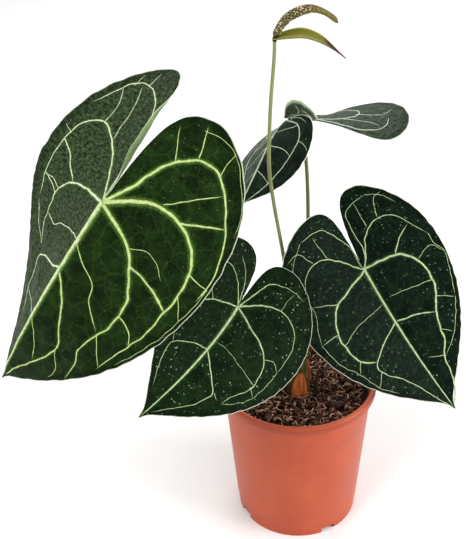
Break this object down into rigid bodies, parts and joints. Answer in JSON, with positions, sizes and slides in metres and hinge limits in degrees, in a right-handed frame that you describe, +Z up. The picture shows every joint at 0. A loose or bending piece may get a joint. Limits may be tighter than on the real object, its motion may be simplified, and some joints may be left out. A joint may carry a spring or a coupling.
{
  "type": "potted anthurium",
  "caption": "Potted foliage plant: veined heart-shaped leaves on slim stalks and a small spike flower, rooted in potting mix in a tapered nursery pot with a rolled rim.",
  "frame": {"origin": "centre of the pot's base, on the surface the pot stands on", "axes": "+Z up along the pot's axis, -Y the plant's front, +X to the right when it is seen from the front"},
  "size_m": [0.3196, 0.2463, 0.4005],
  "materials": {
    "pot_plastic": "moulded, satin",
    "potting_mix": "loose, matte",
    "bark": "rough",
    "crown": "matte",
    "dry_sheath": "dry, fibrous",
    "root": "matte",
    "leaf_blade": "velvety with pale veins",
    "stalk": "smooth",
    "spathe": "smooth",
    "spadix": "pebbled"
  },
  "bodies": {
    "root": {"pot": "pot_plastic", "potting_mix": "potting_mix", "bark_chip_1": "bark", "bark_chip_2": "bark", "bark_chip_3": "bark", "bark_chip_4": "bark", "bark_chip_5": "bark", "bark_chip_6": "bark", "crown_stem": "crown", "cataphyll_1": "dry_sheath", "cataphyll_2": "dry_sheath", "cataphyll_3": "dry_sheath", "aerial_root": "root", "leaf_large_blade": "leaf_blade", "leaf_front_blade": "leaf_blade", "leaf_right_blade": "leaf_blade", "leaf_back_blade": "leaf_blade", "leaf_large_petiole": "stalk", "leaf_front_petiole": "stalk", "leaf_right_petiole": "stalk", "leaf_back_petiole": "stalk", "peduncle": "stalk", "spathe": "spathe", "spadix": "spadix"}
  },
  "joints": []
}
